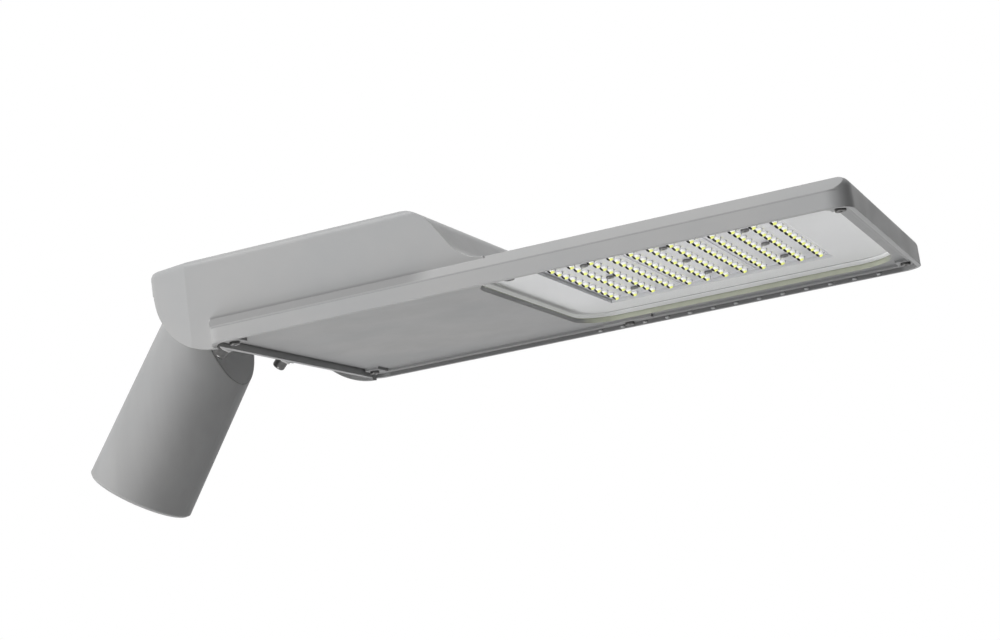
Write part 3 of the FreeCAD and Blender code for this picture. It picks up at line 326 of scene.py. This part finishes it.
def lens_plate(name):
    """Clear moulded domes over the chips. Each dome carries painted light as marks at a fixed place
    on
    it, the same for all views: a painted highlight, a painted image of the phosphor, both glowing a
    little, and a painted dark reflection."""
    s = Shader(name)
    x, y, z = s.axes()
    middle = tray_x(MODULES_MIDDLE)[0]
    local = []
    for axis, pitch, origin in ((x, LED_PITCH[0], middle), (y, LED_PITCH[1], 0.0)):
        turns = s.math("DIVIDE", s.math("SUBTRACT", axis, origin), pitch * MM)
        local.append(s.product(s.math("SUBTRACT", s.math("FRACT", turns), 0.5), pitch))
    local.append(s.math("DIVIDE", s.math("SUBTRACT", z, SHIFT.z), MM))

    def ball(centre, radius, blur=0.2):
        """One inside a ball, in mm from the chip's middle and the rim's lower plane."""
        parts = [s.math("SUBTRACT", axis, place) for axis, place in zip(local, centre)]
        return s.between(s.math("DIVIDE", s.length(*parts), radius), 1 - blur, 1 + blur, 1, 0)

    # Ball masks on the dome: a painted highlight, a painted image of the phosphor and a painted
    # dark reflection.
    white = ball((1.0, -2.0, 13.9), 1.95, 0.25)
    yellow = ball((0.75, -1.1, 11.9), 2.0)
    painted_dark_reflection = ball((-1.85, -1.6, 12.95), 1.8)
    dome = s.mix(white, (0.50, 0.50, 0.53), (1.0, 1.0, 1.0))
    dome = s.mix(yellow, dome, (0.96, 1.0, 0.24))
    dome = s.mix(painted_dark_reflection, dome, (0.002, 0.002, 0.002))
    flat = s.between(z, *tray_z(LENS_FACE - 0.2, LENS_FACE - 0.1))
    domed = s.math("SUBTRACT", 1.0, flat)
    sheet = s.cloud(s.noise(40, 3), (0.76, 0.76, 0.80), (0.84, 0.84, 0.88))
    shade = s.mix(flat, dome, sheet)
    # The highlight and the phosphor's image glow a little: painted light.
    lit = s.product(s.math("MAXIMUM", white, yellow), s.math("SUBTRACT", 1.0, painted_dark_reflection), domed)
    dull = s.product(painted_dark_reflection, domed)
    return s.set(colour=shade, rough=0.16, glow=shade, glow_strength=s.product(lit, 0.38),
                 specular=s.between(dull, 0, 1, 0.45, 0.02, smooth=False))


# Marks that lie at one place on a casting

def housing_painted_shade(s, shade):
    """Painted shade: the shoulder beside the hump darker, where the hump shades it, a fine dark
    line in the crease where shoulder meets band, and a darker inner wall of the rim, in the
    recess's shade."""
    x, y, z = s.axes()
    aside = s.math("ABSOLUTE", y)
    # Painted shade on the shoulder beside the hump.
    painted_shoulder_shade = s.product(s.between(aside, *metres(120.8, 122.2)),
                      s.within(x, tray_x(0.4, 1.2), tray_x(146, 168)),
                      s.within(z, tray_z(10.6, 12.4), tray_z(18.2, 20.6)))
    shade = s.mix(s.product(painted_shoulder_shade, 0.9), shade, grey(0.24))
    # Painted shade: a fine dark line in the crease where shoulder meets band.
    line = s.product(s.between(s.away(z, tray_z(10.7)[0]), *metres(0.9, 0.3)),
                     s.between(aside, *metres(127.0, 129.0)))
    shade = s.mix(s.product(line, 0.6), shade, grey(0.22))
    # Painted shade on the rim's inner wall, down in its recess.
    rim = s.product(s.between(aside, *metres(RIM_INNER + 0.3, RIM_INNER + 0.1)),
                    s.within(x, tray_x(12, 15), tray_x(419, 422)),
                    s.between(z, *tray_z(5.4, 4.8)))
    return s.mix(s.product(rim, 0.85), shade, grey(0.21))


def window_wall_painted_reflection(s, shade):
    """The opening's long walls are painted a pale olive, a painted reflection of the LEDs' yellow
    light; its short walls are a plain grey.
    """
    _, y, _ = s.axes()
    long_side = s.between(s.math("ABSOLUTE", y), *metres(96.0, 108.0))
    # Pale olive on the long walls: a painted reflection.
    wall = s.mix(long_side, grey(0.38), (0.56, 0.58, 0.47))
    return s.mix(outside_window(s, 0.25), wall, shade)


def relief_painted_light(s, shade):
    """The socket's sloped relief is painted a paler grey than the coat: painted light, in place of
    the light it lacks from the +X side.
    """
    outward = Vector((math.cos(TILT) + math.sin(TILT), 0, math.cos(TILT) - math.sin(TILT)))
    flat = s.dot(s.facing, outward.normalized())
    return s.mix(s.between(flat, 0.96, 0.985), shade, grey(0.8))


# Materials on the CAD pieces

cap_coat = powder_coat("cap_coat", 0.37)
fastener = steel("fastener_steel", 0.13, 0.32)
lens_fastener = steel("lens_fastener_steel", 0.20, 0.4, edge_glint=0.15)
zinc = steel("zinc_steel", 0.46, 0.36)
black_nylon = moulded("black_nylon", (0.028, 0.028, 0.030), 0.48)
board_white = white_sheet("board_white")
lens_clear = lens_plate("lens_acrylic")

FINISH = {
    "housing": powder_coat("housing_coat", 0.38, edge_highlight=0.6, overlay=housing_painted_shade),
    "cover_frame": powder_coat("cover_coat", 0.315, edge_highlight=0.5, overlay=window_wall_painted_reflection),
    "pole_socket": powder_coat("socket_coat", 0.35, rough=0.46, round_edges=1.6, reflection_streaks=0.5,
                               edge_highlight=0.8, overlay=relief_painted_light),
    "clamp_cap_left": cap_coat, "clamp_cap_right": cap_coat,
    "clamp_bolt_left": fastener, "clamp_bolt_right": fastener, "cover_screws": fastener,
    "clamp_washer_left": zinc, "clamp_washer_right": zinc,
    "gear_tray_screws": zinc, "driver_screws": zinc,
    "set_screws": steel("dark_fastener_steel", 0.30, 0.36),
    "glass_pane": clear_glass("window_glass"),
    "glass_seal": moulded("seal_cream", (0.60, 0.62, 0.52), 0.6, 900, True),
    "cover_gasket": moulded("silicone", (0.045, 0.047, 0.05), 0.62, 900, True),
    "bezel_plate": white_sheet("bezel_white"),
    "gear_tray": galvanised("galvanised_sheet"),
    "led_driver": moulded("driver_case", (0.09, 0.10, 0.11), 0.5, 500),
    "surge_protector": moulded("surge_case", (0.50, 0.09, 0.03), 0.42),
    "terminal_block": moulded("terminal_nylon", (0.72, 0.71, 0.66), 0.5),
    "cable_clamp": black_nylon, "cable_gland": black_nylon, "gland_nut": black_nylon,
    "breather_vent": black_nylon,
}
for number in (1, 2, 3):
    FINISH[f"led_board_{number}"] = board_white
    FINISH[f"lens_plate_{number}"] = lens_clear
    FINISH[f"lens_screws_{number}"] = lens_fastener

for name, piece in nodes.items():
    piece.data.materials.clear()
    piece.data.materials.append(FINISH[name])


# Small pieces that the eye finds on the real head

def added(name, build, material):
    mesh = bpy.data.meshes.new(name)
    bmesh.ops.recalc_face_normals(build, faces=build.faces)
    build.to_mesh(mesh)
    build.free()
    for polygon in mesh.polygons:
        polygon.use_smooth = True
    mesh.materials.append(material)
    item = bpy.data.objects.new(name, mesh)
    scene.collection.objects.link(item)
    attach(item, "head")


# Locating nubs in a row on each long inner wall of the rim: blunt half balls, just sunk in it

NUBS, NUB_START, NUB_STEP, NUB_LEVEL = 13, 191.0, 17.7, 1.6
NUB_LENGTH, NUB_DEPTH, NUB_HEIGHT, NUB_SUNK = 1.7, 1.15, 0.95, 0.12


def blunt(value, power=0.65):
    return math.copysign(abs(value) ** power, value)


nubs = bmesh.new()
for side in (-1, 1):
    for number in range(NUBS):
        centre = tray(NUB_START + NUB_STEP * number, side * RIM_INNER, NUB_LEVEL)
        sphere = bmesh.ops.create_uvsphere(nubs, u_segments=12, v_segments=8, radius=1)
        for vert in sphere["verts"]:
            x, y, z = (blunt(value) for value in vert.co)
            inward = max(-y * side, -NUB_SUNK)
            vert.co = centre + Vector((NUB_LENGTH * x, -side * NUB_DEPTH * inward,
                                       NUB_HEIGHT * z)) * MM
# The nubs are painted lighter than the housing's coat: painted light that picks them out against
# the rim's shade.
added("rim_nubs", nubs, powder_coat("nub_lit_coat", 0.5))

# Beads that close the two joints between the LED modules: a low arch over a narrow root, with
# ends that taper off

BEAD_HALF, BEAD_DROP, BEAD_STEPS = 0.85, 0.16, 8
ROOT_HALF, ROOT_TOP = 0.3, LENS_FACE + 0.5
TAPER_RUN, TAPER = 0.3, 0.6

arch = [math.pi * step / BEAD_STEPS for step in range(BEAD_STEPS + 1)]
section = [(BEAD_HALF * math.cos(turn), LENS_FACE - BEAD_DROP * math.sin(turn)) for turn in arch]
section += [(-ROOT_HALF, LENS_FACE), (-ROOT_HALF, ROOT_TOP), (ROOT_HALF, ROOT_TOP),
            (ROOT_HALF, LENS_FACE)]
shoulder = MODULE_HALF - TAPER_RUN
beads = bmesh.new()
for side in (-1, 1):
    rings = []
    for y, size in ((-MODULE_HALF, TAPER), (-shoulder, 1.0), (shoulder, 1.0), (MODULE_HALF, TAPER)):
        rings.append([beads.verts.new(tray(MODULES_MIDDLE + side * MODULE_JOINT + across * size, y,
                                           LENS_FACE + (z - LENS_FACE) * size))
                      for across, z in section])
    for first, second in zip(rings, rings[1:]):
        for start in range(len(section)):
            end = (start + 1) % len(section)
            beads.faces.new((first[start], first[end], second[end], second[start]))
    beads.faces.new(rings[0])
    beads.faces.new(rings[-1])
added("seam_beads", beads, moulded("seam_white", (0.78, 0.78, 0.82), 0.5, 900, True))


# Camera at the photograph's viewpoint: its place in tray coordinates and its three directions

CAMERA_PLACE = (612.3, -1195.0, -233.0)
FOCAL_LENGTH = 67.04
RIGHT = Vector((0.9171, 0.3741, -0.1374))
DOWN = Vector((-0.1938, 0.1173, -0.9740))
AHEAD = Vector((-0.3483, 0.9199, 0.1801))

camera_data = bpy.data.cameras.new("camera")
camera_data.sensor_width = 36
camera_data.lens = FOCAL_LENGTH
camera_data.clip_start = 0.05
camera_data.clip_end = 60
camera = bpy.data.objects.new("camera", camera_data)
scene.collection.objects.link(camera)
aimed = Matrix((RIGHT, -DOWN, -AHEAD)).transposed()
camera.matrix_world = Matrix.Translation(tray(*CAMERA_PLACE)) @ aimed.to_4x4()
scene.camera = camera


# Floor, world and soft lamps

FLOOR_PLACE, FLOOR_HALF, FLOOR_GREY = (0.2, 0, -2.2), 30, 0.55
SEEN_SHARE = 0.85
SOFT_STRENGTH = 0.15
WHITE = (1, 1, 1, 1)


def seen_ray(tree):
    """One for the rays by which a surface is seen: straight, in a reflection or through glass."""
    path = tree.nodes.new("ShaderNodeLightPath")
    found = path.outputs["Is Camera Ray"]
    for name in ("Is Glossy Ray", "Is Transmission Ray"):
        join = tree.nodes.new("ShaderNodeMath")
        join.operation = "MAXIMUM"
        tree.links.new(found, join.inputs[0])
        tree.links.new(path.outputs[name], join.inputs[1])
        found = join.outputs[0]
    return found


def shade_by_ray(tree, out, lighting, seen, amount):
    """One shader for the light that reaches other surfaces and one for what is seen."""
    choose = tree.nodes.new("ShaderNodeMixShader")
    tree.links.new(amount, choose.inputs["Fac"])
    tree.links.new(lighting.outputs[0], choose.inputs[1])
    tree.links.new(seen.outputs[0], choose.inputs[2])
    tree.links.new(choose.outputs[0], out.inputs["Surface"])


def pale_floor(name):
    """A pale matt floor that looks nearly white and still takes a faint shadow."""
    material = bpy.data.materials.new(name)
    material.use_nodes = True
    tree = material.node_tree
    tree.nodes.clear()
    matt = tree.nodes.new("ShaderNodeBsdfDiffuse")
    matt.inputs["Color"].default_value = (FLOOR_GREY, FLOOR_GREY, FLOOR_GREY, 1)
    pale = tree.nodes.new("ShaderNodeEmission")
    pale.inputs["Color"].default_value = WHITE
    share = tree.nodes.new("ShaderNodeMath")
    share.operation = "MULTIPLY"
    share.inputs[1].default_value = SEEN_SHARE
    tree.links.new(seen_ray(tree), share.inputs[0])
    out = tree.nodes.new("ShaderNodeOutputMaterial")
    shade_by_ray(tree, out, matt, pale, share.outputs[0])
    return material


floor_mesh = bpy.data.meshes.new("floor")
plane = bmesh.new()
bmesh.ops.create_grid(plane, x_segments=2, y_segments=2, size=FLOOR_HALF)
plane.to_mesh(floor_mesh)
plane.free()
floor = bpy.data.objects.new("floor", floor_mesh)
floor.location = FLOOR_PLACE
floor_mesh.materials.append(pale_floor("floor_pale"))
scene.collection.objects.link(floor)


def background(tree, strength):
    node = tree.nodes.new("ShaderNodeBackground")
    node.inputs["Color"].default_value = WHITE
    node.inputs["Strength"].default_value = strength
    return node


world = bpy.data.worlds.new("studio")
scene.world = world
world.use_nodes = True
sky = world.node_tree
sky.nodes.clear()
sky_out = sky.nodes.new("ShaderNodeOutputWorld")
shade_by_ray(sky, sky_out, background(sky, SOFT_STRENGTH), background(sky, 1.0), seen_ray(sky))

LAMP_AIM = Vector((0.25, 0, 0.1))
LAMP_SIZE = 1.8


def lamp(name, place, watts):
    data = bpy.data.lights.new(name, "AREA")
    data.shape = "DISK"
    data.size = LAMP_SIZE
    data.energy = watts
    item = bpy.data.objects.new(name, data)
    item.location = place
    item.rotation_euler = (LAMP_AIM - Vector(place)).to_track_quat("-Z", "Y").to_euler()
    scene.collection.objects.link(item)
    return item


lamp("key", (-0.62, -1.85, 2.2), 95)
lamp("under", (-0.65, -1.0, -2.1), 64)
# The back lamp lights the far side softly and leaves no glare on the edges seen against it
lamp("back", (0.05, 2.7, 1.5), 45).visible_glossy = False
